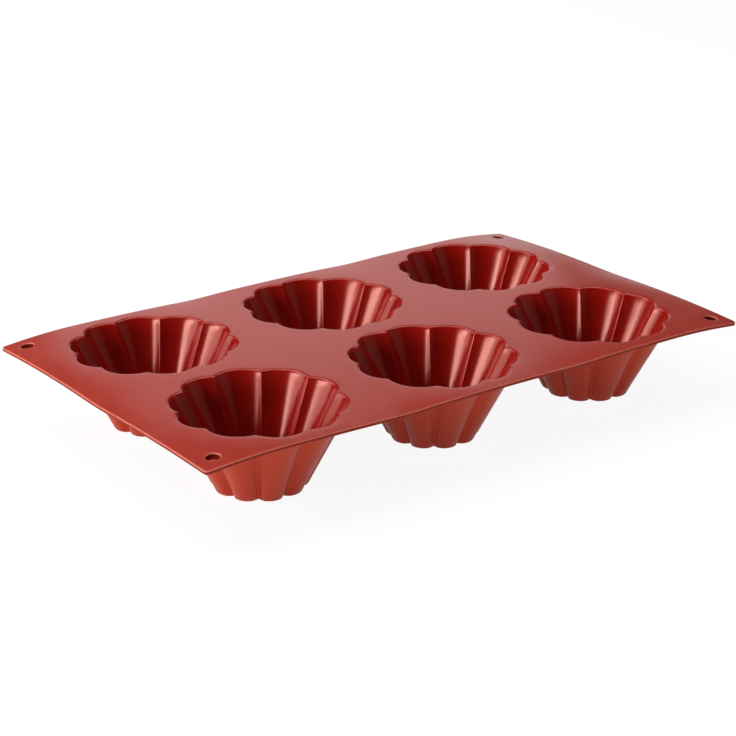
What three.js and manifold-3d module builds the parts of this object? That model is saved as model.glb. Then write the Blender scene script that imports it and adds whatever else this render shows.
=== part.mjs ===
// Silicone brioche mould: a flat sheet with fluted, tapered cups hanging below it in two rows of three.
// The sheet, the cup walls and the cup bases are zones of one soft moulding, with a narrow seam between them.
// A base is the thumb-sized middle of a cup's floor, which is pressed up to push the bake out.
// Millimetres, +Z up. The origin is on the table, under the middle of the sheet.
import * as THREE from "three";
import { mergeVertices } from "three/addons/utils/BufferGeometryUtils.js";
import Module from "manifold-3d";

const wasm = await Module();
wasm.setup();

// Layout: cups stand in named columns along X and named rows along Y.
const COLUMNS = ["left", "middle", "right"];
const ROWS = ["front", "back"];
const COLUMN_GAP = 16; // between the mouths of neighbouring columns
const ROW_GAP = 7; // between the mouths of neighbouring rows
const END_MARGIN = 15.5; // from a mouth to the sheet's short edge
const SIDE_MARGIN = 5; // from a mouth to the sheet's long edge

// Cup, inside: the diameters are across opposite flute crests.
const MOUTH_DIAMETER = 79; // where the rim's rounding starts on the sheet's top face
const FLOOR_DIAMETER = 40;
const CUP_DEPTH = 36.7; // from the sheet's top face to the floor
const FLUTES = 10;
const FLUTE_DEPTH = 3.4; // from crest to valley

// Thicknesses of the moulding
const SHEET_THICKNESS = 2;
const WALL_THICKNESS = 1.5;
const FLOOR_THICKNESS = 1.5;

// Roundings
const RIM_RADIUS = 1.5; // from the sheet's top face into a cup
const NECK_RADIUS = 1.5; // from the sheet's underside into a cup's outer wall
const FOOT_RADIUS = 2; // round a cup's foot, outside
const EDGE_RADIUS = 0.7; // along the sheet's edges and the hanging holes
const LARGEST_EDGE_SHARE = 0.45; // of the sheet's thickness, for the rounding on each face
const CORNER_RADIUS = 4; // of the sheet, seen from above

// Hanging holes, one in each corner of the sheet
const HOLE_DIAMETER = 6.5;
const HOLE_INSET = 9; // from a hole's centre to both of the sheet's edges

// Seams between the zones
const SEAM_GAP = 0.3;
const RIM_LAND = 0.4; // flat ring of a cup's rim, beyond its roundings
const FLOOR_RING = 3; // floor that stays with the wall round a base, at the flute valleys
const BASE_RECESS = 0.3; // how far a base stands off the table, inside the foot

// Fineness of the facets
const STEPS_PER_FLUTE = 6;
const STEPS_PER_ROUNDING = 2;
const STEPS_PER_CORNER = 5;
const STEPS_PER_CIRCLE = 24;

// Sizes and heights that follow from those above
const COLUMN_PITCH = MOUTH_DIAMETER + COLUMN_GAP;
const ROW_PITCH = MOUTH_DIAMETER + ROW_GAP;
const SHEET_LENGTH = (COLUMNS.length - 1) * COLUMN_PITCH + MOUTH_DIAMETER + 2 * END_MARGIN;
const SHEET_WIDTH = (ROWS.length - 1) * ROW_PITCH + MOUTH_DIAMETER + 2 * SIDE_MARGIN;
const SHEET_TOP = FLOOR_THICKNESS + CUP_DEPTH;
const SHEET_UNDERSIDE = SHEET_TOP - SHEET_THICKNESS;
const MOUTH_CREST = MOUTH_DIAMETER / 2;
const FLOOR_CREST = FLOOR_DIAMETER / 2;
const BASE_RADIUS = FLOOR_CREST - FLUTE_DEPTH - FLOOR_RING;
const EDGE_ROUNDING = Math.min(EDGE_RADIUS, LARGEST_EDGE_SHARE * SHEET_THICKNESS);
const CUTTER_REACH = SHEET_THICKNESS; // of the cutters, past both faces of the sheet
const RIGHT_ANGLE = Math.PI / 2;
const HALF_FLUTE = Math.PI / FLUTES;

// The inner wall is the straight line from the floor's edge that touches the rim's rounding.
const MOUTH_REACH = MOUTH_CREST - FLOOR_CREST;
const MOUTH_RISE = CUP_DEPTH - RIM_RADIUS;
const TAPER =
  Math.acos(RIM_RADIUS / Math.hypot(MOUTH_REACH, MOUTH_RISE)) - Math.atan2(MOUTH_RISE, MOUTH_REACH);
const innerCrest = (z) => FLOOR_CREST + (z - FLOOR_THICKNESS) * Math.tan(TAPER);
const outerCrest = (z) => innerCrest(z) + WALL_THICKNESS / Math.cos(TAPER);

// Distance from a cup's axis to the middle of the round lobe that makes one flute.
function lobeCentre(crest) {
  const valley = crest - FLUTE_DEPTH;
  return (crest ** 2 - valley ** 2) / (2 * (crest - valley * Math.cos(HALF_FLUTE)));
}

const MOUTH_LOBES = lobeCentre(innerCrest(SHEET_TOP));
const FLOOR_LOBES = lobeCentre(FLOOR_CREST);

// Radius of a fluted outline at an angle from the middle of a flute. With no lobes it is a circle.
function outlineRadius({ crest, lobes = 0, inset = 0 }, angle) {
  const aside = lobes * Math.sin(angle);
  const reach = Math.sqrt(Math.max((crest - lobes) ** 2 - aside ** 2, 0));
  return lobes * Math.cos(angle) + reach - inset;
}

// Points of an outline about the cup's axis, seen from above.
function outlinePoints(outline) {
  const steps = Array.from({ length: FLUTES * STEPS_PER_FLUTE }, (_, step) => step);
  return steps.map((step) => {
    const aside = HALF_FLUTE * ((2 * (step % STEPS_PER_FLUTE)) / STEPS_PER_FLUTE - 1);
    const angle = aside + 2 * HALF_FLUTE * Math.floor(step / STEPS_PER_FLUTE);
    const radius = outlineRadius(outline, aside);
    return new THREE.Vector2(radius * Math.cos(angle), radius * Math.sin(angle));
  });
}

// Points of an arc in a section, with x as the distance from the axis and y as the height.
function arcPoints({ x, y, radius, from, to }) {
  return Array.from({ length: STEPS_PER_ROUNDING + 1 }, (_, step) => {
    const angle = from + ((to - from) * step) / STEPS_PER_ROUNDING;
    return new THREE.Vector2(x + radius * Math.cos(angle), y + radius * Math.sin(angle));
  });
}

// Closed skin through outlines that lead up, over and back down to the first one.
function loopedSkin(outlines) {
  const positions = [];
  const index = [];
  const around = FLUTES * STEPS_PER_FLUTE;
  outlines.forEach((outline, o) => {
    const here = o * around;
    const next = ((o + 1) % outlines.length) * around;
    outlinePoints(outline).forEach((point, p) => {
      const q = (p + 1) % around;
      positions.push(point.x, point.y, outline.z);
      index.push(here + p, here + q, next + q, here + p, next + q, next + p);
    });
  });
  const skin = new THREE.BufferGeometry();
  skin.setAttribute("position", new THREE.Float32BufferAttribute(positions, 3));
  skin.setIndex(index);
  return skin;
}

// Foot: rounds the outer wall into the table, by an even inset of the wall's outline.
const FOOT_TANGENT = FOOT_RADIUS * (1 - Math.sin(TAPER));
const FOOT_CREST = outerCrest(FOOT_TANGENT);
const footOutlines = arcPoints({
  x: FOOT_CREST - FOOT_RADIUS * Math.cos(TAPER),
  y: FOOT_RADIUS,
  radius: FOOT_RADIUS,
  from: -RIGHT_ANGLE,
  to: -TAPER,
}).map(({ x, y }) => ({ crest: FOOT_CREST, lobes: FLOOR_LOBES, inset: FOOT_CREST - x, z: y }));

// Neck: rounds the outer wall into the sheet's underside.
const NECK_TANGENT = SHEET_UNDERSIDE - NECK_RADIUS * (1 - Math.sin(TAPER));
const NECK_CREST = outerCrest(NECK_TANGENT) + NECK_RADIUS * Math.cos(TAPER);
const neckOutlines = arcPoints({
  x: NECK_CREST,
  y: SHEET_UNDERSIDE - NECK_RADIUS,
  radius: NECK_RADIUS,
  from: 2 * RIGHT_ANGLE - TAPER,
  to: RIGHT_ANGLE,
}).map(({ x, y }) => ({ crest: x, lobes: MOUTH_LOBES, z: y }));

// Rim: rounds the sheet's top face into the inner wall.
const rimOutlines = arcPoints({
  x: MOUTH_CREST,
  y: SHEET_TOP - RIM_RADIUS,
  radius: RIM_RADIUS,
  from: RIGHT_ANGLE,
  to: 2 * RIGHT_ANGLE - TAPER,
}).map(({ x, y }) => ({ crest: x, lobes: MOUTH_LOBES, z: y }));
const RIM_CREST = Math.max(MOUTH_CREST, NECK_CREST) + RIM_LAND;

// Cup wall: out from the base's seam, up the outside, round the rim and down the inside.
function cupWall() {
  const seam = BASE_RADIUS + SEAM_GAP;
  return loopedSkin([
    { crest: seam, z: 0 },
    ...footOutlines,
    ...neckOutlines,
    { crest: RIM_CREST, lobes: MOUTH_LOBES, z: SHEET_UNDERSIDE },
    { crest: RIM_CREST, lobes: MOUTH_LOBES, z: SHEET_TOP },
    ...rimOutlines,
    { crest: FLOOR_CREST, lobes: FLOOR_LOBES, z: FLOOR_THICKNESS },
    { crest: seam, z: FLOOR_THICKNESS },
  ]);
}

// Turned solid from a section that starts and ends on the axis.
function turned(section) {
  return new THREE.LatheGeometry(section, STEPS_PER_CIRCLE).rotateX(RIGHT_ANGLE);
}

// Cup base: a round panel of the floor.
function cupBase() {
  return turned([
    new THREE.Vector2(0, BASE_RECESS),
    new THREE.Vector2(BASE_RADIUS, BASE_RECESS),
    new THREE.Vector2(BASE_RADIUS, FLOOR_THICKNESS),
    new THREE.Vector2(0, FLOOR_THICKNESS),
  ]);
}

// Solid for cutting, from a closed geometry.
function solidOf(geometry) {
  const bare = geometry.clone();
  bare.deleteAttribute("normal");
  bare.deleteAttribute("uv");
  const merged = mergeVertices(bare);
  const vertProperties = merged.attributes.position.array;
  const triVerts = new Uint32Array(merged.index.array);
  return new wasm.Manifold(new wasm.Mesh({ numProp: 3, vertProperties, triVerts }));
}

// Geometry of a solid that was cut.
function geometryOf(solid) {
  const mesh = solid.getMesh();
  const geometry = new THREE.BufferGeometry();
  geometry.setAttribute("position", new THREE.BufferAttribute(mesh.vertProperties, 3));
  geometry.setIndex(new THREE.BufferAttribute(mesh.triVerts, 1));
  return geometry;
}

// Slab of the sheet, with round corners and soft edges, before it is cut.
function slab() {
  const [x, y] = [SHEET_LENGTH / 2 - CORNER_RADIUS, SHEET_WIDTH / 2 - CORNER_RADIUS];
  const outline = new THREE.Shape();
  outline.absarc(x, y, CORNER_RADIUS, 0, RIGHT_ANGLE);
  outline.absarc(-x, y, CORNER_RADIUS, RIGHT_ANGLE, 2 * RIGHT_ANGLE);
  outline.absarc(-x, -y, CORNER_RADIUS, 2 * RIGHT_ANGLE, 3 * RIGHT_ANGLE);
  outline.absarc(x, -y, CORNER_RADIUS, 3 * RIGHT_ANGLE, 4 * RIGHT_ANGLE);
  outline.closePath();
  const geometry = new THREE.ExtrudeGeometry(outline, {
    depth: SHEET_THICKNESS - 2 * EDGE_ROUNDING,
    curveSegments: STEPS_PER_CORNER,
    bevelThickness: EDGE_ROUNDING,
    bevelSize: EDGE_ROUNDING,
    bevelOffset: -EDGE_ROUNDING,
    bevelSegments: STEPS_PER_ROUNDING,
  });
  return geometry.translate(0, 0, SHEET_UNDERSIDE + EDGE_ROUNDING);
}

// Cutter for the opening that a cup's rim fills.
function cupOpening() {
  const outline = outlinePoints({ crest: RIM_CREST + SEAM_GAP, lobes: MOUTH_LOBES });
  const depth = SHEET_THICKNESS + 2 * CUTTER_REACH;
  const geometry = new THREE.ExtrudeGeometry(new THREE.Shape(outline), { depth, bevelEnabled: false });
  return geometry.translate(0, 0, SHEET_UNDERSIDE - CUTTER_REACH);
}

// Cutter for a hanging hole, flared where it meets the sheet's faces.
function hangingHole() {
  const flare = HOLE_DIAMETER / 2 + EDGE_ROUNDING;
  const [low, high] = [SHEET_UNDERSIDE - CUTTER_REACH, SHEET_TOP + CUTTER_REACH];
  const lowerEdge = { x: flare, y: SHEET_UNDERSIDE + EDGE_ROUNDING, radius: EDGE_ROUNDING };
  const upperEdge = { x: flare, y: SHEET_TOP - EDGE_ROUNDING, radius: EDGE_ROUNDING };
  return turned([
    new THREE.Vector2(0, low),
    new THREE.Vector2(flare, low),
    ...arcPoints({ ...lowerEdge, from: -RIGHT_ANGLE, to: -2 * RIGHT_ANGLE }),
    ...arcPoints({ ...upperEdge, from: 2 * RIGHT_ANGLE, to: RIGHT_ANGLE }),
    new THREE.Vector2(flare, high),
    new THREE.Vector2(0, high),
  ]);
}

// Middle of each cup, named by its row and column.
const cupPlaces = ROWS.flatMap((row, r) =>
  COLUMNS.map((column, c) => ({
    name: `${row}_${column}_cup`,
    x: (c - (COLUMNS.length - 1) / 2) * COLUMN_PITCH,
    y: (r - (ROWS.length - 1) / 2) * ROW_PITCH,
  })),
);

// Middle of each hanging hole.
const holePlaces = [-1, 1].flatMap((sideX) =>
  [-1, 1].map((sideY) => ({
    x: sideX * (SHEET_LENGTH / 2 - HOLE_INSET),
    y: sideY * (SHEET_WIDTH / 2 - HOLE_INSET),
  })),
);

// Sheet: the slab with an opening for each cup and the hanging holes.
function topSheet() {
  const openings = cupPlaces.map(({ x, y }) => cupOpening().translate(x, y, 0));
  const holes = holePlaces.map(({ x, y }) => hangingHole().translate(x, y, 0));
  let solid = solidOf(slab());
  for (const cutter of [...openings, ...holes]) {
    solid = solid.subtract(solidOf(cutter));
  }
  return geometryOf(solid);
}

// Terracotta silicone: satin on the sheet, polished inside the cups.
const SATIN_SILICONE = { color: 0xa94a42, roughness: 0.45, metalness: 0 };
const POLISHED_SILICONE = { color: 0x9c3826, roughness: 0.22, metalness: 0 };
const FLOOR_SILICONE = { color: 0x98341f, roughness: 0.3, metalness: 0 };

function piece(name, geometry, finish) {
  const mesh = new THREE.Mesh(geometry, new THREE.MeshStandardMaterial(finish));
  mesh.name = name;
  return mesh;
}

const mould = new THREE.Group();
mould.add(piece("top_sheet", topSheet(), SATIN_SILICONE));
for (const { name, x, y } of cupPlaces) {
  const cup = new THREE.Group();
  cup.position.set(x, y, 0);
  cup.add(piece(`${name}_wall`, cupWall(), POLISHED_SILICONE));
  cup.add(piece(`${name}_base`, cupBase(), FLOOR_SILICONE));
  mould.add(cup);
}

export default mould;
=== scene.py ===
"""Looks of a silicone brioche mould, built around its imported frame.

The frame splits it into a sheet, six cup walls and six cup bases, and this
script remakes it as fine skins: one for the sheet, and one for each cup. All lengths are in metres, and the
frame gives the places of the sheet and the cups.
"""

import logging
import math
from collections.abc import Iterator
from dataclasses import dataclass, field
from enum import Enum

import bpy
import numpy as np
from mathutils import Matrix, Vector
from mathutils.geometry import delaunay_2d_cdt


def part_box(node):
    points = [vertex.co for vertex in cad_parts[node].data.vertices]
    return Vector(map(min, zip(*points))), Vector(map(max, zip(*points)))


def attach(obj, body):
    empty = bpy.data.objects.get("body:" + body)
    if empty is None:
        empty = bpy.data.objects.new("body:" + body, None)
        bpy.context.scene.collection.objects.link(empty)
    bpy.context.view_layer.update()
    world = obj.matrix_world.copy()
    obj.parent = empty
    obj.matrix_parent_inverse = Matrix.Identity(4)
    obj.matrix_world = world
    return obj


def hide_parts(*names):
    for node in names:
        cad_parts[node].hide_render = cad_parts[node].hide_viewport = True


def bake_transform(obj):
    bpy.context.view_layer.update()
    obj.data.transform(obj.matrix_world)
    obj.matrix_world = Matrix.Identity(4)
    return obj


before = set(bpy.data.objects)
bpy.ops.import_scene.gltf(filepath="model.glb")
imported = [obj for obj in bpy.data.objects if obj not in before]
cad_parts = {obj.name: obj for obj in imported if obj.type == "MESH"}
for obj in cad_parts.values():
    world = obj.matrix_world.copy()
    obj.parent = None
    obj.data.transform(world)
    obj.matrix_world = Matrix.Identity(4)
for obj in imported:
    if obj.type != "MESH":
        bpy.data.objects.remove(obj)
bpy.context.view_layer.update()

MM = 0.001
SHARP_ANGLE = math.radians(50)
FILL_INSIDE = 1
Colour = tuple[float, float, float]
Value = bpy.types.NodeSocket | float
NodeTree = bpy.types.ShaderNodeTree
log = logging.getLogger("mould")


class Surface(Enum):
    """Surfaces of the moulding, by the place of their material on a piece."""

    SHEET = 0
    # The cups' insides, darker with painted shade.
    INSIDE = 1
    # The cups' outsides and the sheet's underside, lighter with painted light.
    OUTSIDE = 2
    # The holes' funnels and throats, dark with painted shade.
    CUT = 3
    # The rounded top edge and the holes' lips, pale with a painted highlight.
    LIP = 4
    # The sheet's side face and lower rounding, dark with painted shade.
    TRIM = 5


class Ray(Enum):
    """Kinds of rays, by their output on the light path node."""

    CAMERA = "Is Camera Ray"
    GLOSSY = "Is Glossy Ray"
    TRANSMISSION = "Is Transmission Ray"


def soft_max(first: np.ndarray, second: np.ndarray, width: float) -> np.ndarray:
    """Larger of two values, with the crease rounded where they differ by less than the width."""
    return np.maximum(first, second) + np.maximum(width - np.abs(first - second), 0.0) ** 2 / (4 * width)


def smooth_step(value: np.ndarray, low: float, high: float) -> np.ndarray:
    """Smooth ramp from 0 at low to 1 at high."""
    share = np.clip((value - low) / (high - low), 0.0, 1.0)
    return share * share * (3 - 2 * share)


@dataclass
class Sag:
    """How far the soft sheet hangs below its flat plane, away from the cups that hold it up.

    Attributes:
        half_length: half of the sheet's length.
        half_width: half of the sheet's width.
        cup_middles: x and y of the cups' axes.
        rim_radius: radius within which a cup holds the sheet up.
        end_drop: drop of the two ends.
        end_reach: how far in from an end its drop starts.
        hang: drop of a free edge that lies hang_reach away from the cups.
        hang_reach: distance from the cups that the hang is measured by.
        hang_limit: number of reaches beyond which the hang hardly grows.
        blend: distance over which the hold of neighbouring cups is blended.
        arch: drop of the long edges below the middle line.
        lean: drop of the near edge, and rise of the far one.
        twist: drop of the right end's far corner, and rise of its near one.
        near_lift: rise of the left end's near corner.
        far_lift: rise of the left end's far corner.
        lift_reach: distance from the corner at which its rise ends.
        lift_power: how steeply the rise grows towards the corner.
    """

    half_length: float
    half_width: float
    cup_middles: list[tuple[float, float]]
    rim_radius: float = 41 * MM
    end_drop: float = 1.7 * MM
    end_reach: float = 42 * MM
    hang: float = 1.05 * MM
    hang_reach: float = 24 * MM
    hang_limit: float = 1.35
    blend: float = 5 * MM
    arch: float = 1.15 * MM
    lean: float = 0.4 * MM
    twist: float = 0.6 * MM
    near_lift: float = 1.75 * MM
    far_lift: float = 0.45 * MM
    lift_reach: float = 85 * MM
    lift_power: float = 1.5

    def drop(self, x: np.ndarray, y: np.ndarray) -> np.ndarray:
        """Drop below the flat plane at each place.

        Args:
            x: places along the sheet.
            y: places across the sheet.

        Returns:
            The drops, positive downwards.
        """
        end = np.clip((np.abs(x) - self.half_length + self.end_reach) / self.end_reach, 0.0, 1.0)
        across = y / self.half_width
        away = np.clip(self.away_from_cups(x, y) / self.hang_reach, 0.0, None)
        hanging = away**2 / np.sqrt(1 + (away / self.hang_limit) ** 4)
        free = 1 - (1 - across**2) * (1 - end**2)
        fall = self.end_drop * end**2 + self.hang * hanging * free
        turned = self.twist * across * np.where(x > 0, end, 0.0) ** 2
        raised = self.near_lift * self.left_corner(x, y, -1) + self.far_lift * self.left_corner(x, y, 1)
        return fall + turned + self.arch * across**2 - self.lean * across - raised

    def left_corner(self, x: np.ndarray, y: np.ndarray, side: int) -> np.ndarray:
        """Nearness to the left end's corner on the near side, -1, or the far side, 1."""
        away = np.hypot(x + self.half_length, y - side * self.half_width)
        return np.clip(1 - away / self.lift_reach, 0.0, 1.0) ** self.lift_power

    def away_from_cups(self, x: np.ndarray, y: np.ndarray) -> np.ndarray:
        """Distance to the nearest cup's rim, rounded where two cups are as near."""
        nearness = sum(
            np.exp(-(np.hypot(x - middle[0], y - middle[1]) - self.rim_radius) / self.blend)
            for middle in self.cup_middles
        )
        return -self.blend * np.log(nearness)


@dataclass
class Skin:
    """Points and faces of one piece while it is put together."""

    blocks: list[np.ndarray] = field(default_factory=list)
    faces: list[list[int]] = field(default_factory=list)
    surfaces: list[int] = field(default_factory=list)
    count: int = 0

    def add_points(self, outline: np.ndarray, height: float) -> np.ndarray:
        """Adds points that lie at one height.

        Args:
            outline: rows of x and y.
            height: height of the points.

        Returns:
            The places of the new points in the piece.
        """
        self.blocks.append(np.column_stack((outline, np.full(len(outline), height))))
        self.count += len(outline)
        return np.arange(self.count - len(outline), self.count)

    def add_faces(self, surface: Surface, *corners: np.ndarray) -> None:
        """Adds faces of one surface, given the points at each of their corners in turn."""
        self.faces.extend(np.column_stack(corners).tolist())
        self.surfaces.extend([surface.value] * len(corners[0]))

    def add_band(self, surface: Surface, first: np.ndarray, second: np.ndarray) -> None:
        """Adds the band of faces between two rings of points."""
        self.add_faces(surface, first, np.roll(first, -1), np.roll(second, -1), second)

    def vertices(self) -> np.ndarray:
        """Rows of x, y and z of all the points."""
        return np.vstack(self.blocks)

    def make(self, name: str, vertices: np.ndarray) -> bpy.types.Object:
        """Makes a mesh object with smooth shading and a material place for each face.

        Args:
            name: name of the piece.
            vertices: the points, in the order in which they were added.

        Returns:
            The object, linked to the scene.
        """
        mesh = bpy.data.meshes.new(name)
        mesh.from_pydata(vertices.tolist(), [], self.faces)
        mesh.polygons.foreach_set("material_index", self.surfaces)
        mesh.shade_smooth()
        mesh.set_sharp_from_angle(angle=SHARP_ANGLE)
        mesh.update()
        piece = bpy.data.objects.new(name, mesh)
        bpy.context.scene.collection.objects.link(piece)
        return piece


def dress_piece(piece: bpy.types.Object, materials: dict[Surface, bpy.types.Material]) -> None:
    """Puts the materials in the places that the faces name.

    Args:
        piece: the mesh object.
        materials: the material of each surface.
    """
    places = [polygon.material_index for polygon in piece.data.polygons]
    piece.data.materials.clear()
    for surface in Surface:
        piece.data.materials.append(materials[surface])
    piece.data.polygons.foreach_set("material_index", places)


@dataclass(frozen=True)
class Ring:
    """One outline of a cup's skin, at one height.

    Attributes:
        crest: radius at the crests of the flutes.
        height: height above the table.
        lobes: distance from the axis to the middles of the round lobes that make the flutes.
        inset: how far the outline is drawn in.
        crease: how wide the valleys between the flutes are rounded.
        roundness: share of a plain circle in the outline.
        share: size of the outline, where it is a smaller copy.
        groove: how much deeper the valleys are than the lobes make them.
    """

    crest: float
    height: float
    lobes: float
    inset: float = 0.0
    crease: float = 0.55 * MM
    roundness: float = 0.0
    share: float = 1.0
    groove: float = 0.0


@dataclass
class Cup:
    """One fluted cup, from its rim's land in the sheet to its floor.

    The land is the narrow ring round the rim that joins the sheet. The creases round the valleys between the
    flutes, and the groove deepens them outside, over a share of the flute, and fades towards the neck. The
    crease bias draws the steps round the cup closer to the valleys. Shares and climbs place the rings of the
    floor, of the base and of the step at the base's recess.
    """

    name: str
    sag: Sag
    mouth_diameter: float = 79 * MM
    floor_diameter: float = 40 * MM
    flutes: int = 10
    flute_depth: float = 3.4 * MM
    wall: float = 1.5 * MM
    floor: float = 1.5 * MM
    sheet: float = 2 * MM
    rim_radius: float = 1.8 * MM
    neck_radius: float = 1.5 * MM
    foot_radius: float = 2 * MM
    foot_flat: float = 1.2 * MM
    foot_roundness: float = 0.35
    floor_radius: float = 1.2 * MM
    floor_shares: tuple[float, ...] = (0.9, 0.72, 0.5, 0.25)
    floor_roundness: tuple[float, ...] = (0.3, 0.8, 1.0, 1.0)
    land: float = 0.55 * MM
    inner_crease: float = 0.55 * MM
    outer_crease: float = 0.8 * MM
    outer_groove: float = 0.9 * MM
    groove_share: float = 0.45
    groove_fade: int = 6
    base_radius: float = 13.6 * MM
    base_shares: tuple[float, ...] = (0.3, 0.62, 0.97)
    base_recess: float = 0.3 * MM
    recess_climbs: tuple[float, ...] = (0.65, 0.0)
    steps_per_flute: int = 24
    crease_bias: float = 0.72
    arc_steps: int = 6
    wall_steps: int = 14
    press_start: float = 4 * MM
    piece: bpy.types.Object = field(init=False)

    def __post_init__(self) -> None:
        """Places that follow from the frame and the sizes."""
        low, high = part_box(self.wall_node)
        self.centre = (low + high) / 2
        self.top = high.z
        self.underside = self.top - self.sheet
        self.mouth_crest = self.mouth_diameter / 2
        self.floor_crest = self.floor_diameter / 2
        self.half_flute = math.pi / self.flutes
        reach = self.mouth_crest - self.floor_crest
        rise = self.top - self.floor - self.rim_radius
        self.taper = math.acos(self.rim_radius / math.hypot(reach, rise)) - math.atan2(rise, reach)
        self.mouth_lobes = self.lobe_centre(self.inner_crest(self.top))
        self.floor_lobes = self.lobe_centre(self.floor_crest)

    @property
    def wall_node(self) -> str:
        """Name of the wall's node in the frame."""
        return f"{self.name}_cup_wall"

    @property
    def base_node(self) -> str:
        """Name of the base's node in the frame."""
        return f"{self.name}_cup_base"

    @property
    def base_body(self) -> str:
        """Name of the body that the base moves with."""
        return f"{self.name}_base"

    def lobe_centre(self, crest: float) -> float:
        """Distance from the axis to the middle of the lobe that makes a flute with this crest radius."""
        valley = crest - self.flute_depth
        return (crest**2 - valley**2) / (2 * (crest - valley * math.cos(self.half_flute)))

    def inner_crest(self, height: float) -> float:
        """Crest radius of the straight inner wall at a height."""
        return self.floor_crest + (height - self.floor) * math.tan(self.taper)

    def outer_crest(self, height: float) -> float:
        """Crest radius of the straight outer wall at a height."""
        return self.inner_crest(height) + self.wall / math.cos(self.taper)

    def angles(self) -> tuple[np.ndarray, np.ndarray]:
        """Angles round the cup, close together at the flute valleys.

        Returns:
            The angle about the axis and the angle from the middle of the flute, for each step.
        """
        step = np.arange(self.steps_per_flute) / self.steps_per_flute * 2 - 1
        bent = step + self.crease_bias * np.sin(math.pi * step) / math.pi
        aside = np.tile(bent * self.half_flute, self.flutes)
        middles = np.repeat(np.arange(self.flutes) * 2 * self.half_flute, self.steps_per_flute)
        return middles + aside, aside

    @staticmethod
    def lobe_reach(ring: Ring, angle: np.ndarray) -> np.ndarray:
        """Distance from the axis to the far side of a lobe.

        Args:
            ring: the outline that the lobe belongs to.
            angle: angles from the lobe's middle.

        Returns:
            The distance at each angle.
        """
        lobe = ring.crest - ring.lobes
        side = ring.lobes * np.sin(angle)
        return ring.lobes * np.cos(angle) + np.sqrt(np.maximum(lobe**2 - side**2, 0.0))

    def radii(self, ring: Ring) -> np.ndarray:
        """Radius of a ring at each step round the cup.

        Args:
            ring: the outline.

        Returns:
            The radii.
        """
        _, aside = self.angles()
        near = self.lobe_reach(ring, np.abs(aside))
        far = self.lobe_reach(ring, 2 * self.half_flute - np.abs(aside))
        valley = smooth_step(np.abs(aside) / self.half_flute, 1 - self.groove_share, 1.0)
        fluted = soft_max(near, far, ring.crease) - ring.inset - ring.groove * valley
        plain = ring.crest - ring.inset - self.flute_depth / 2
        return ring.share * (fluted * (1 - ring.roundness) + plain * ring.roundness)

    def outline(self, ring: Ring) -> np.ndarray:
        """Points of a ring in the plane, in the frame.

        Args:
            ring: the outline.

        Returns:
            One row of x and y for each step.
        """
        angle, _ = self.angles()
        radius = self.radii(ring)
        x = self.centre.x + radius * np.cos(angle)
        y = self.centre.y + radius * np.sin(angle)
        return np.column_stack((x, y))

    def land_ring(self, height: float) -> Ring:
        """Outline where the cup's rim meets the sheet."""
        reach = self.mouth_crest + self.neck_radius + self.land
        return Ring(reach, height, self.mouth_lobes, crease=self.inner_crease)

    def arc(self, low: float, high: float) -> np.ndarray:
        """Angles along a rounding, from one to another."""
        return np.linspace(low, high, self.arc_steps + 1)

    def wall_shares(self) -> np.ndarray:
        """Shares of the way along a wall at which it has a ring."""
        return np.linspace(0, 1, self.wall_steps + 1)[1:-1]

    def base_rings(self) -> Iterator[Ring]:
        """Round rings under the base, from its middle out to the step down from its recess.

        Yields:
            Each ring.
        """
        crest = self.base_radius + self.flute_depth / 2
        for share in self.base_shares:
            yield Ring(crest, self.base_recess, 0.0, roundness=1, share=share)
        for climb in self.recess_climbs:
            yield Ring(crest + self.base_recess * (1 - climb), self.base_recess * climb, 0.0, roundness=1)

    def outer_rings(self) -> Iterator[Ring]:
        """Rings of the outside, from the foot up to the rim's land.

        Yields:
            Each ring.
        """
        crease, groove = self.outer_crease, self.outer_groove
        tangent = self.foot_radius * (1 - math.sin(self.taper))
        foot = self.outer_crest(tangent)
        inset = self.foot_radius * math.cos(self.taper) + self.foot_flat
        yield Ring(foot, 0.0, self.floor_lobes, inset=inset, crease=crease, roundness=self.foot_roundness)
        for angle in self.arc(-math.pi / 2, -self.taper):
            inset = self.foot_radius * (math.cos(self.taper) - math.cos(angle))
            height = self.foot_radius * (1 + math.sin(angle))
            yield Ring(foot, height, self.floor_lobes, inset=inset, crease=crease, groove=groove)
        neck_low = self.underside - self.neck_radius * (1 - math.sin(self.taper))
        for share in self.wall_shares():
            height = tangent + (neck_low - tangent) * share
            lobes = self.floor_lobes + (self.mouth_lobes - self.floor_lobes) * share
            faded = groove * (1 - share**self.groove_fade)
            yield Ring(self.outer_crest(height), height, lobes, crease=crease, groove=faded)
        neck = self.outer_crest(neck_low) + self.neck_radius * math.cos(self.taper)
        for angle in self.arc(math.pi - self.taper, math.pi / 2):
            crest = neck + self.neck_radius * math.cos(angle)
            height = self.underside + self.neck_radius * (math.sin(angle) - 1)
            yield Ring(crest, height, self.mouth_lobes, crease=crease)
        yield self.land_ring(self.underside)

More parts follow.
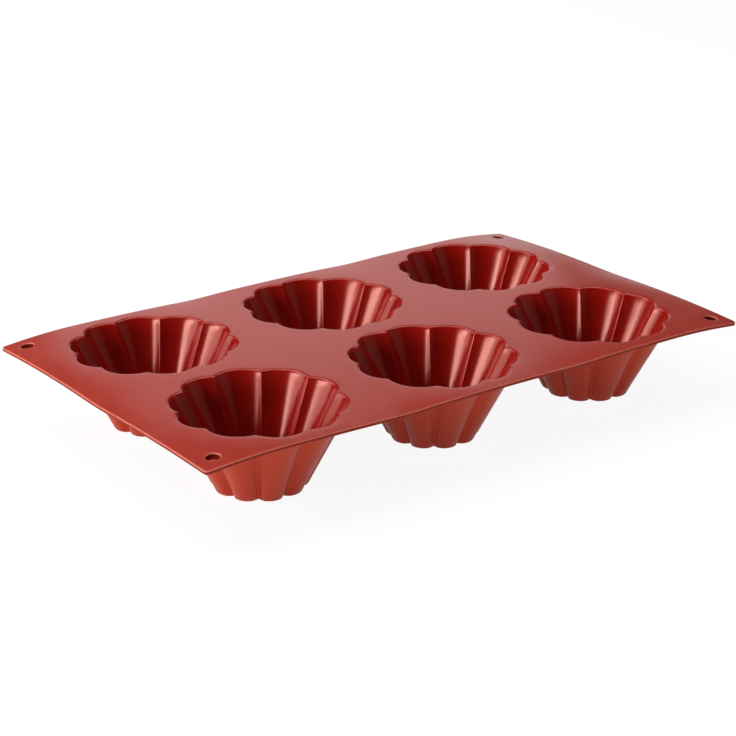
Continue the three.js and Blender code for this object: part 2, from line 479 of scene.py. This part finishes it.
    def inner_rings(self) -> Iterator[Ring]:
        """Rings of the inside, from the rim down to the floor's middle.

        Yields:
            Each ring.
        """
        crease = self.inner_crease
        for angle in self.arc(math.pi / 2, math.pi - self.taper):
            crest = self.mouth_crest + self.rim_radius * math.cos(angle)
            height = self.top + self.rim_radius * (math.sin(angle) - 1)
            yield Ring(crest, height, self.mouth_lobes, crease=crease)
        wall_high = self.top - self.rim_radius * (1 - math.sin(self.taper))
        wall_low = self.floor + self.floor_radius * (1 - math.sin(self.taper))
        for share in self.wall_shares():
            height = wall_high + (wall_low - wall_high) * share
            lobes = self.mouth_lobes + (self.floor_lobes - self.mouth_lobes) * share
            yield Ring(self.inner_crest(height), height, lobes, crease=crease)
        corner = self.inner_crest(wall_low)
        for angle in self.arc(-self.taper, -math.pi / 2):
            inset = self.floor_radius * (math.cos(self.taper) - math.cos(angle))
            height = self.floor + self.floor_radius * (1 + math.sin(angle))
            yield Ring(corner, height, self.floor_lobes, inset=inset, crease=crease)
        inset = self.floor_radius * math.cos(self.taper)
        for share, roundness in zip(self.floor_shares, self.floor_roundness):
            yield Ring(corner, self.floor, self.floor_lobes, inset, crease, roundness, share)

    def build(self) -> None:
        """Makes the cup's closed skin."""
        outside = [*self.base_rings(), *self.outer_rings()]
        inside = list(self.inner_rings())
        rings = [*outside, self.land_ring(self.top), *inside]
        # The land's side against the sheet and its top are finished like the sheet.
        finishes = [Surface.OUTSIDE] * (len(outside) - 1)
        finishes += [Surface.SHEET, Surface.SHEET]
        finishes += [Surface.INSIDE] * (len(inside) - 1)

        skin = Skin()
        loops = [skin.add_points(self.outline(ring), ring.height) for ring in rings]
        middle = np.array([self.centre.xy])
        under_middle = np.repeat(skin.add_points(middle, self.base_recess), len(loops[0]))
        floor_middle = np.repeat(skin.add_points(middle, self.floor), len(loops[-1]))
        skin.add_faces(Surface.OUTSIDE, under_middle, np.roll(loops[0], -1), loops[0])
        for below, above, finish in zip(loops, loops[1:], finishes):
            skin.add_band(finish, below, above)
        skin.add_faces(Surface.INSIDE, loops[-1], np.roll(loops[-1], -1), floor_middle)

        vertices = skin.vertices()
        stand = smooth_step(vertices[:, 2], 0.0, self.underside)
        vertices[:, 2] -= self.sag.drop(vertices[:, 0], vertices[:, 1]) * stand
        self.piece = skin.make(f"{self.name}_cup", vertices)
        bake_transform(self.piece)
        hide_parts(self.wall_node, self.base_node)

    def dress(self, materials: dict[Surface, bpy.types.Material]) -> None:
        """Gives each surface of the cup its finish."""
        dress_piece(self.piece, materials)


@dataclass(frozen=True)
class EdgeRow:
    """One row of points along an edge, and the finish of the band that leads down to it."""

    offset: float
    height: float
    surface: Surface


@dataclass(frozen=True)
class SheetEdge:
    """One edge of the sheet.

    Attributes:
        points: the edge's outline on the flat part of the sheet.
        outward: the way off the sheet at each of these points.
        rows: the rows that lead from the flat top down to the flat underside.
        is_hole: whether the edge goes round a hole, and not round the sheet.
    """

    points: np.ndarray
    outward: np.ndarray
    rows: list[EdgeRow]
    is_hole: bool


@dataclass
class Sheet:
    """The flat sheet that joins the cups, with soft edges and a hanging hole in each corner."""

    cups: list[Cup]
    sag: Sag
    corner_radius: float = 2.2 * MM
    edge_radius: float = 0.45 * MM
    under_radius: float = 1.1 * MM
    hole_mouth: float = 6.2 * MM
    hole_throat: float = 3.3 * MM
    hole_lip: float = 0.5 * MM
    hole_under_radius: float = 0.15 * MM
    hole_inset: float = 9 * MM
    grid: float = 4 * MM
    edge_step: float = 3 * MM
    grid_margin: float = 1.3 * MM
    merge_distance: float = 0.0001 * MM
    corner_steps: int = 10
    hole_steps: int = 40
    arc_steps: int = 5
    funnel_steps: int = 4
    piece: bpy.types.Object = field(init=False)

    def __post_init__(self) -> None:
        """Places that follow from the frame and the sizes."""
        low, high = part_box("top_sheet")
        self.top = high.z
        self.underside = low.z
        self.half_length = (high.x - low.x) / 2
        self.half_width = (high.y - low.y) / 2
        self.edge_inset = self.under_radius
        self.hole_reach = self.hole_mouth / 2 + self.hole_lip

    def turns(self) -> np.ndarray:
        """Angles along a quarter round."""
        return np.linspace(0, math.pi / 2, self.arc_steps + 1)

    def border_rows(self) -> list[EdgeRow]:
        """Rows of the sheet's outer edge, between the flat top and the flat underside.

        Returns:
            The rows, with a rubbed rounding above and a trimmed one below.
        """
        rows = [EdgeRow(self.edge_inset - self.edge_radius, self.top, Surface.SHEET)]
        for turn in self.turns()[1:]:
            offset = self.edge_inset - self.edge_radius * (1 - math.sin(turn))
            height = self.top - self.edge_radius * (1 - math.cos(turn))
            rows.append(EdgeRow(offset, height, Surface.LIP))
        for turn in self.turns()[:0:-1]:
            offset = self.edge_inset - self.under_radius * (1 - math.sin(turn))
            height = self.underside + self.under_radius * (1 - math.cos(turn))
            rows.append(EdgeRow(offset, height, Surface.TRIM))
        return rows

    def hole_rows(self) -> list[EdgeRow]:
        """Rows of a hanging hole, from its lip with a painted highlight down a funnel to its throat, in
        painted shade.

        Returns:
            The rows.
        """
        rows: list[EdgeRow] = []
        for turn in self.turns()[1:]:
            height = self.top - self.hole_lip * (1 - math.cos(turn))
            rows.append(EdgeRow(self.hole_lip * math.sin(turn), height, Surface.LIP))
        narrowing = (self.hole_mouth - self.hole_throat) / 2
        high = self.top - self.hole_lip
        low = self.underside + self.hole_under_radius
        for share in np.linspace(0, 1, self.funnel_steps + 1)[1:]:
            offset = self.hole_lip + narrowing * share**2
            rows.append(EdgeRow(offset, high + (low - high) * share, Surface.CUT))
        throat = self.hole_lip + narrowing
        for turn in self.turns()[-2::-1]:
            offset = throat - self.hole_under_radius * (1 - math.sin(turn))
            height = self.underside + self.hole_under_radius * (1 - math.cos(turn))
            rows.append(EdgeRow(offset, height, Surface.CUT))
        return rows

    def border(self) -> SheetEdge:
        """The sheet's outer edge, anticlockwise.

        Returns:
            The edge, with its outline where the edge's rounding starts.
        """
        x = self.half_length - self.corner_radius
        y = self.half_width - self.corner_radius
        corners = np.array(((x, -y), (x, y), (-x, y), (-x, -y)))
        points: list[np.ndarray] = []
        outward: list[np.ndarray] = []
        for quarter, corner in enumerate(corners):
            turn = np.linspace(-math.pi / 2, 0, self.corner_steps + 1) + quarter * math.pi / 2
            arc = np.column_stack((np.cos(turn), np.sin(turn)))
            points.append(corner + (self.corner_radius - self.edge_inset) * arc)
            outward.append(arc)
            side = corners[(quarter + 1) % len(corners)] - corner
            steps = round(np.linalg.norm(side) / self.edge_step)
            shares = np.linspace(0, 1, steps + 1)[1:-1]
            points.append(points[-1][-1] + shares[:, None] * side)
            outward.append(np.tile(arc[-1], (len(shares), 1)))
        return SheetEdge(np.vstack(points), np.vstack(outward), self.border_rows(), is_hole=False)

    def hole_middles(self) -> list[np.ndarray]:
        """Middle of each hanging hole.

        Returns:
            The middles, each as x and y.
        """
        x = self.half_length - self.hole_inset
        y = self.half_width - self.hole_inset
        return [np.array((sign_x * x, sign_y * y)) for sign_x in (-1, 1) for sign_y in (-1, 1)]

    def holes(self) -> Iterator[SheetEdge]:
        """Edges of the hanging holes, each with its outline where the lip's rounding starts.

        Yields:
            Each edge.
        """
        turn = np.arange(self.hole_steps) / self.hole_steps * 2 * math.pi
        arc = np.column_stack((np.cos(turn), np.sin(turn)))
        for middle in self.hole_middles():
            yield SheetEdge(middle + self.hole_reach * arc, -arc, self.hole_rows(), is_hole=True)

    def clear_of_openings(self, points: np.ndarray) -> np.ndarray:
        """Which points lie on the sheet's material, with a margin.

        Args:
            points: rows of x and y.

        Returns:
            True for each point that does.
        """
        margin = self.grid_margin
        inside = np.abs(points[:, 0]) < self.half_length - self.edge_inset - margin
        inside &= np.abs(points[:, 1]) < self.half_width - self.edge_inset - margin
        for middle in self.hole_middles():
            away = np.linalg.norm(points - middle, axis=1)
            inside &= away > self.hole_reach + margin
        for cup in self.cups:
            offset = points - np.array(cup.centre.xy)
            angle = np.arctan2(offset[:, 1], offset[:, 0])
            steps, _ = cup.angles()
            limit = np.interp(angle, steps, cup.radii(cup.land_ring(self.top)), period=2 * math.pi)
            inside &= np.linalg.norm(offset, axis=1) > limit + margin
        return inside

    def flat_mesh(self, outlines: list[np.ndarray]) -> tuple[np.ndarray, np.ndarray]:
        """Fills the sheet's outline with triangles, leaving its openings free.

        Args:
            outlines: the border and the openings.

        Returns:
            The points in the plane, with the outlines' points first, and the corners of the triangles.
        """
        columns = np.arange(-self.half_length, self.half_length, self.grid) + self.grid / 2
        rows = np.arange(-self.half_width, self.half_width, self.grid) + self.grid / 2
        grid = np.array([(x, y) for x in columns for y in rows])
        points = np.vstack([*outlines, grid[self.clear_of_openings(grid)]])
        loops: list[list[int]] = []
        first = 0
        for outline in outlines:
            loops.append(list(range(first, first + len(outline))))
            first += len(outline)
        places = [Vector(point) for point in points]
        filled = delaunay_2d_cdt(places, [], loops, FILL_INSIDE, self.merge_distance)
        _, _, faces, origins, _, owners = filled
        source = np.array([origin[0] for origin in origins])
        # A triangle of the material lies in the border's loop, the first one, and in no opening's.
        triangles = [face for face, owner in zip(faces, owners) if owner == [0]]
        return points, source[np.array(triangles)]

    @staticmethod
    def add_edge(skin: Skin, edge: SheetEdge, upper: np.ndarray, lower: np.ndarray) -> None:
        """Adds the bands of one edge.

        Args:
            skin: the sheet's skin.
            edge: the edge.
            upper: points of its outline on the flat top.
            lower: points of its outline on the flat underside.
        """
        rings = [upper]
        for row in edge.rows:
            rings.append(skin.add_points(edge.points + row.offset * edge.outward, row.height))
        rings.append(lower)
        finishes = [row.surface for row in edge.rows] + [Surface.OUTSIDE]
        for above, below, finish in zip(rings, rings[1:], finishes):
            corners = (above, below, np.roll(below, -1), np.roll(above, -1))
            skin.add_faces(finish, *(reversed(corners) if edge.is_hole else corners))

    def build(self) -> None:
        """Makes the sheet's closed skin."""
        edges = [self.border(), *self.holes()]
        rims = [cup.outline(cup.land_ring(self.top)) for cup in self.cups]
        flat, triangles = self.flat_mesh([edge.points for edge in edges] + rims)
        skin = Skin()
        top = skin.add_points(flat, self.top)
        bottom = skin.add_points(flat, self.underside)
        skin.add_faces(Surface.SHEET, *top[triangles].T)
        skin.add_faces(Surface.OUTSIDE, *bottom[triangles[:, ::-1]].T)
        first = 0
        for edge in edges:
            last = first + len(edge.points)
            self.add_edge(skin, edge, top[first:last], bottom[first:last])
            first = last
        for rim in rims:
            last = first + len(rim)
            skin.add_band(Surface.SHEET, top[first:last], bottom[first:last])
            first = last
        vertices = skin.vertices()
        vertices[:, 2] -= self.sag.drop(vertices[:, 0], vertices[:, 1])
        self.piece = skin.make("sheet", vertices)
        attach(self.piece, "mould")
        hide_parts("top_sheet")

    def dress(self, materials: dict[Surface, bpy.types.Material]) -> None:
        """Gives each surface of the sheet its finish."""
        dress_piece(self.piece, materials)


class NodeGroup:
    """A shader node group with named sockets, built once."""

    def __init__(self, name: str, inputs: dict[str, float], outputs: list[str]) -> None:
        """Makes an empty group.

        Args:
            name: name of the group.
            inputs: its value inputs with their defaults.
            outputs: its value outputs.
        """
        self.tree = bpy.data.node_groups.new(name, "ShaderNodeTree")
        for label, default in inputs.items():
            socket = self.tree.interface.new_socket(label, in_out="INPUT", socket_type="NodeSocketFloat")
            socket.default_value = default
        for label in outputs:
            self.tree.interface.new_socket(label, in_out="OUTPUT", socket_type="NodeSocketFloat")
        self.inlet = self.tree.nodes.new("NodeGroupInput")
        self.outlet = self.tree.nodes.new("NodeGroupOutput")

    def node(self, kind: str, **settings: str) -> bpy.types.Node:
        """Adds a node with its settings.

        Args:
            kind: type of the node.
            settings: the node's own settings by name.

        Returns:
            The node.
        """
        added = self.tree.nodes.new(kind)
        for label, value in settings.items():
            setattr(added, label, value)
        return added

    def feed(self, target: bpy.types.NodeSocket, value: Value) -> None:
        """Links a socket to an input, or sets a number on it.

        Args:
            target: the input.
            value: the socket or the number.
        """
        if isinstance(value, bpy.types.NodeSocket):
            self.tree.links.new(value, target)
        else:
            target.default_value = value

    def math(self, operation: str, first: Value, second: Value) -> bpy.types.NodeSocket:
        """Adds a calculation with two values.

        Args:
            operation: the calculation, as the node names it.
            first: a socket or a number.
            second: a socket or a number.

        Returns:
            The socket with the result.
        """
        node = self.node("ShaderNodeMath", operation=operation)
        self.feed(node.inputs[0], first)
        self.feed(node.inputs[1], second)
        return node.outputs[0]

    def noise(self, place: bpy.types.NodeSocket, scale: Value, detail: float) -> bpy.types.NodeSocket:
        """Adds a noise over the surface.

        Args:
            place: the coordinates.
            scale: number of waves in a metre.
            detail: how many finer layers it has.

        Returns:
            The socket with the noise, from 0 to 1.
        """
        node = self.node("ShaderNodeTexNoise")
        self.feed(node.inputs["Vector"], place)
        self.feed(node.inputs["Scale"], scale)
        self.feed(node.inputs["Detail"], detail)
        return node.outputs["Fac"]

    def ramp(self, value: bpy.types.NodeSocket, low: float, high: float) -> bpy.types.NodeSocket:
        """Stretches values smoothly to the range from 0 to 1.

        Args:
            value: the values.
            low: value that becomes 0.
            high: value that becomes 1.

        Returns:
            The socket with the stretched values.
        """
        node = self.node("ShaderNodeMapRange", interpolation_type="SMOOTHSTEP")
        self.feed(node.inputs["From Min"], low)
        self.feed(node.inputs["From Max"], high)
        self.feed(node.inputs["Value"], value)
        return node.outputs["Result"]


@dataclass(frozen=True)
class MouldGrain:
    """Fine grain that the metal mould's surface leaves on the silicone."""

    waves: float = 2500.0
    fine_detail: float = 2.0
    coarse_waves: float = 0.16
    coarse_detail: float = 1.0
    coarse_height: float = 0.8

    def group(self) -> NodeTree:
        """Makes the node group.

        Returns:
            A group with the waves in a metre as its input and the grain's height as its output.
        """
        group = NodeGroup("Mould grain", {"Waves": self.waves}, ["Height"])
        place = group.node("ShaderNodeTexCoord").outputs["Object"]
        waves = group.inlet.outputs["Waves"]
        fine = group.noise(place, waves, self.fine_detail)
        coarse = group.noise(place, group.math("MULTIPLY", waves, self.coarse_waves), self.coarse_detail)
        height = group.math("ADD", fine, group.math("MULTIPLY", coarse, self.coarse_height))
        group.feed(group.outlet.inputs["Height"], height)
        return group.tree


@dataclass(frozen=True)
class HandlingHaze:
    """Patchy film that baking and handling leave on silicone."""

    patches: float = 22.0
    patch_detail: float = 3.0
    patch_weight: float = 0.7
    smear_waves: float = 6.0
    smear_detail: float = 4.0
    smear_weight: float = 0.3
    bare_level: float = 0.36
    full_level: float = 0.66

    def group(self) -> NodeTree:
        """Makes the node group.

        Returns:
            A group with the patches in a metre as its input and the film's cover as its output.
        """
        group = NodeGroup("Handling haze", {"Patches": self.patches}, ["Cover"])
        place = group.node("ShaderNodeTexCoord").outputs["Object"]
        waves = group.inlet.outputs["Patches"]
        patches = group.noise(place, waves, self.patch_detail)
        smears = group.noise(place, group.math("MULTIPLY", waves, self.smear_waves), self.smear_detail)
        broad = group.math("MULTIPLY", patches, self.patch_weight)
        mixed = group.math("ADD", broad, group.math("MULTIPLY", smears, self.smear_weight))
        cover = group.ramp(mixed, self.bare_level, self.full_level)
        group.feed(group.outlet.inputs["Cover"], cover)
        return group.tree


@dataclass(frozen=True)
class SiliconeFinish:
    """One finish of the silicone; some finishes' colours carry painted light, and others painted shade."""

    name: str
    colour: Colour
    haze_colour: Colour
    roughness: float
    haze_roughness: float
    grain_waves: float
    grain_depth: float
    subsurface: float = 0.12
    scatter: Colour = (1.0, 0.22, 0.1)
    scatter_depth: float = 1.6 * MM
    index: float = 1.41
    gloss_level: float = 0.5
    gloss_tint: Colour = (1.0, 1.0, 1.0)

    def material(self, grain: NodeTree, haze: NodeTree) -> bpy.types.Material:
        """Makes the material.

        Args:
            grain: the group with the surface's grain.
            haze: the group with the handling film.

        Returns:
            The material.
        """
        material = bpy.data.materials.new(self.name)
        material.use_nodes = True
        nodes, links = material.node_tree.nodes, material.node_tree.links
        shader = nodes["Principled BSDF"]
        shader.inputs["IOR"].default_value = self.index
        shader.inputs["Specular IOR Level"].default_value = self.gloss_level
        shader.inputs["Specular Tint"].default_value = (*self.gloss_tint, 1)
        shader.inputs["Subsurface Weight"].default_value = self.subsurface
        shader.inputs["Subsurface Radius"].default_value = self.scatter
        shader.inputs["Subsurface Scale"].default_value = self.scatter_depth

        film = nodes.new("ShaderNodeGroup")
        film.node_tree = haze
        tint = nodes.new("ShaderNodeMix")
        tint.data_type = "RGBA"
        tint.inputs["A"].default_value = (*self.colour, 1)
        tint.inputs["B"].default_value = (*self.haze_colour, 1)
        links.new(film.outputs["Cover"], tint.inputs["Factor"])
        links.new(tint.outputs["Result"], shader.inputs["Base Color"])

        gloss = nodes.new("ShaderNodeMapRange")
        gloss.inputs["To Min"].default_value = self.roughness
        gloss.inputs["To Max"].default_value = self.haze_roughness
        links.new(film.outputs["Cover"], gloss.inputs["Value"])
        links.new(gloss.outputs["Result"], shader.inputs["Roughness"])

        texture = nodes.new("ShaderNodeGroup")
        texture.node_tree = grain
        texture.inputs["Waves"].default_value = self.grain_waves
        bump = nodes.new("ShaderNodeBump")
        bump.inputs["Strength"].default_value = 1.0
        bump.inputs["Distance"].default_value = self.grain_depth
        links.new(texture.outputs["Height"], bump.inputs["Height"])
        links.new(bump.outputs["Normal"], shader.inputs["Normal"])
        return material


FINISHES = {
    Surface.SHEET: SiliconeFinish(
        name="satin_sheet_silicone",
        colour=(0.37, 0.034, 0.022),
        haze_colour=(0.385, 0.042, 0.028),
        roughness=0.19,
        haze_roughness=0.27,
        grain_waves=2600,
        grain_depth=0.006 * MM,
    ),
    # Darker and deeper red than the sheet's silicone: painted shade for the shade and red bounce light
    # inside the cups.
    Surface.INSIDE: SiliconeFinish(
        name="polished_shaded_cup_silicone",
        colour=(0.28, 0.005, 0.0025),
        haze_colour=(0.29, 0.006, 0.003),
        roughness=0.17,
        haze_roughness=0.22,
        grain_waves=900,
        grain_depth=0.003 * MM,
        gloss_level=1.0,
        gloss_tint=(1.0, 0.48, 0.4),
    ),
    # Lighter than the sheet's silicone: painted light for the floor's bounce light on the cups' outsides and
    # the sheet's underside.
    Surface.OUTSIDE: SiliconeFinish(
        name="satin_lit_outside_silicone",
        colour=(0.46, 0.046, 0.016),
        haze_colour=(0.47, 0.052, 0.022),
        roughness=0.42,
        haze_roughness=0.5,
        grain_waves=2200,
        grain_depth=0.016 * MM,
        gloss_level=0.25,
    ),
    # Nearly black red: painted shade in the holes' funnels and throats.
    Surface.CUT: SiliconeFinish(
        name="shaded_hole_silicone",
        colour=(0.13, 0.003, 0.0015),
        haze_colour=(0.14, 0.004, 0.002),
        roughness=0.7,
        haze_roughness=0.8,
        grain_waves=1800,
        grain_depth=0.02 * MM,
        gloss_level=0.05,
    ),
    # Paler than the sheet's silicone: a painted highlight on the rounded top edge and the holes' lips.
    Surface.LIP: SiliconeFinish(
        name="highlit_lip_silicone",
        colour=(0.54, 0.115, 0.066),
        haze_colour=(0.57, 0.13, 0.076),
        roughness=0.22,
        haze_roughness=0.3,
        grain_waves=2600,
        grain_depth=0.006 * MM,
        gloss_level=0.55,
    ),
    # Darker than the sheet's silicone: painted shade on the sheet's side face and lower rounding.
    Surface.TRIM: SiliconeFinish(
        name="shaded_edge_silicone",
        colour=(0.26, 0.018, 0.008),
        haze_colour=(0.28, 0.022, 0.01),
        roughness=0.55,
        haze_roughness=0.65,
        grain_waves=1800,
        grain_depth=0.02 * MM,
        gloss_level=0.15,
    ),
}


@dataclass(frozen=True)
class Softbox:
    """One soft lamp that faces the mould."""

    name: str
    azimuth: float
    elevation: float
    size: tuple[float, float]
    radiance: float
    distance: float = 1.2
    aim_height: float = 0.03

    def add(self) -> None:
        """Makes the lamp, unseen by the camera itself."""
        data = bpy.data.lights.new(self.name, "AREA")
        data.shape = "RECTANGLE"
        data.size, data.size_y = self.size
        data.energy = self.radiance * math.pi * self.size[0] * self.size[1]
        lamp = bpy.data.objects.new(self.name, data)
        azimuth, elevation = math.radians(self.azimuth), math.radians(self.elevation)
        level = math.cos(elevation)
        way = Vector((math.cos(azimuth) * level, math.sin(azimuth) * level, math.sin(elevation)))
        lamp.location = way * self.distance + Vector((0, 0, self.aim_height))
        lamp.rotation_euler = way.to_track_quat("Z", "Y").to_euler()
        lamp.visible_camera = False
        bpy.context.scene.collection.objects.link(lamp)


SOFTBOXES = [
    Softbox("key_core", azimuth=166, elevation=27, size=(0.85, 0.2), radiance=11.0),
    Softbox("key_panel", azimuth=160, elevation=19, size=(1.4, 0.47), radiance=2.7),
    Softbox("left_back", azimuth=118, elevation=45, size=(0.7, 0.64), radiance=3.0),
    Softbox("overhead", azimuth=105, elevation=72, size=(1.1, 0.9), radiance=2.1),
    Softbox("left_low", azimuth=216, elevation=3.5, size=(1.0, 0.26), radiance=3.4, distance=2.4),
    Softbox("front_fill", azimuth=244, elevation=4, size=(2.0, 0.34), radiance=6.2, distance=2.4),
    Softbox("right_top", azimuth=17, elevation=62, size=(0.38, 0.76), radiance=3.5),
    Softbox("back_panel", azimuth=57.4, elevation=18, size=(0.605, 0.38), radiance=0.7),
    Softbox("back_low", azimuth=55, elevation=6, size=(0.92, 0.17), radiance=0.75),
    Softbox("right_fill", azimuth=322, elevation=15, size=(1.2, 0.64), radiance=0.2),
]


def ray_mask(tree: NodeTree, *rays: Ray) -> bpy.types.NodeSocket:
    """Adds a mask that is 1 for any of the given kinds of rays.

    Args:
        tree: the nodes of a material or of the world.
        rays: the kinds of rays.

    Returns:
        The socket with the mask.
    """
    path = tree.nodes.new("ShaderNodeLightPath")
    mask = path.outputs[rays[0].value]
    for ray in rays[1:]:
        either = tree.nodes.new("ShaderNodeMath")
        either.operation = "MAXIMUM"
        tree.links.new(mask, either.inputs[0])
        tree.links.new(path.outputs[ray.value], either.inputs[1])
        mask = either.outputs[0]
    return mask


@dataclass
class Studio:
    """White floor and surroundings, soft lamps, and the camera."""

    camera_place: tuple[float, float, float] = (-0.5389, -0.7138, 0.3668)
    camera_azimuth: float = -36.81
    camera_elevation: float = 21.32
    camera_roll: float = 0.24
    lens: float = 99.57
    sensor: float = 36.0
    clip_start: float = 10 * MM
    floor_size: float = 12.0
    floor_gap: float = 0.1 * MM
    floor_colour: float = 0.95
    floor_glow: float = 0.92
    floor_shade: float = 0.1
    room: float = 0.02

    def build(self) -> None:
        """Makes the camera, the floor, the lamps and the world."""
        self.add_camera()
        self.add_floor()
        for softbox in SOFTBOXES:
            softbox.add()
        self.add_world()

    def add_camera(self) -> None:
        """Camera at the photograph's place, looking the photograph's way."""
        data = bpy.data.cameras.new("camera")
        data.lens = self.lens
        data.sensor_width = self.sensor
        data.sensor_fit = "HORIZONTAL"
        data.clip_start = self.clip_start
        camera = bpy.data.objects.new("camera", data)
        turn = Matrix.Rotation(math.radians(self.camera_azimuth), 4, "Z")
        tilt = Matrix.Rotation(math.radians(90 - self.camera_elevation), 4, "X")
        roll = Matrix.Rotation(math.radians(self.camera_roll), 4, "Z")
        camera.matrix_world = Matrix.Translation(self.camera_place) @ turn @ tilt @ roll
        bpy.context.scene.collection.objects.link(camera)
        bpy.context.scene.camera = camera

    def add_floor(self) -> None:
        """Makes the floor that the mould stands on."""
        half = self.floor_size / 2
        mesh = bpy.data.meshes.new("floor")
        corners = [(-half, -half, 0), (half, -half, 0), (half, half, 0), (-half, half, 0)]
        mesh.from_pydata(corners, [], [(0, 1, 2, 3)])
        floor = bpy.data.objects.new("floor", mesh)
        floor.location.z = -self.floor_gap
        bpy.context.scene.collection.objects.link(floor)
        mesh.materials.append(self.floor_material())

    def floor_material(self) -> bpy.types.Material:
        """Pale finish that shows white to the camera and keeps the object's shadow.

        Returns:
            The material.
        """
        material = bpy.data.materials.new("floor_white")
        material.use_nodes = True
        nodes, links = material.node_tree.nodes, material.node_tree.links
        nodes.remove(nodes["Principled BSDF"])
        plain = nodes.new("ShaderNodeBsdfDiffuse")
        plain.inputs["Color"].default_value = (self.floor_colour,) * 3 + (1,)
        glow = nodes.new("ShaderNodeEmission")
        glow.inputs["Strength"].default_value = self.floor_glow
        shade = nodes.new("ShaderNodeBsdfDiffuse")
        shade.inputs["Color"].default_value = (self.floor_shade,) * 3 + (1,)
        shown = nodes.new("ShaderNodeAddShader")
        links.new(glow.outputs[0], shown.inputs[0])
        links.new(shade.outputs[0], shown.inputs[1])
        pick = nodes.new("ShaderNodeMixShader")
        seen = ray_mask(material.node_tree, Ray.CAMERA, Ray.GLOSSY, Ray.TRANSMISSION)
        links.new(seen, pick.inputs[0])
        links.new(plain.outputs[0], pick.inputs[1])
        links.new(shown.outputs[0], pick.inputs[2])
        links.new(pick.outputs[0], nodes["Material Output"].inputs["Surface"])
        return material

    def add_world(self) -> None:
        """Dim room round the lamps, which shows white to the camera."""
        world = bpy.data.worlds.new("studio")
        bpy.context.scene.world = world
        world.use_nodes = True
        nodes, links = world.node_tree.nodes, world.node_tree.links
        # Reflections see the dim room, because a white one would be more light on the satin silicone.
        seen = ray_mask(world.node_tree, Ray.CAMERA, Ray.TRANSMISSION)
        level = nodes.new("ShaderNodeMapRange")
        level.inputs["To Min"].default_value = self.room
        links.new(seen, level.inputs["Value"])
        sky = nodes["Background"]
        sky.inputs["Color"].default_value = (1, 1, 1, 1)
        links.new(level.outputs["Result"], sky.inputs["Strength"])


CUP_NAMES = [f"{row}_{column}" for row in ("front", "back") for column in ("left", "middle", "right")]


def sheet_sag() -> Sag:
    """Hang of the sheet between the cups that the frame holds.

    Returns:
        The sag.
    """
    low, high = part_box("top_sheet")
    walls = [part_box(f"{name}_cup_wall") for name in CUP_NAMES]
    middles = [((first.x + second.x) / 2, (first.y + second.y) / 2) for first, second in walls]
    return Sag((high.x - low.x) / 2, (high.y - low.y) / 2, middles)


def main() -> None:
    """Builds the mould and the studio, and reports each piece."""
    logging.basicConfig(level=logging.INFO, format="%(name)s: %(message)s")
    bpy.context.scene.view_settings.view_transform = "Standard"
    Studio().build()
    log.info("studio built")
    grain, haze = MouldGrain().group(), HandlingHaze().group()
    materials = {surface: finish.material(grain, haze) for surface, finish in FINISHES.items()}
    sag = sheet_sag()
    cups = [Cup(name, sag) for name in CUP_NAMES]
    sheet = Sheet(cups, sag)
    for part in (sheet, *cups):
        part.build()
        part.dress(materials)
        log.info("%s: %d faces", part.piece.name, len(part.piece.data.polygons))


if __name__ == "__main__":
    main()
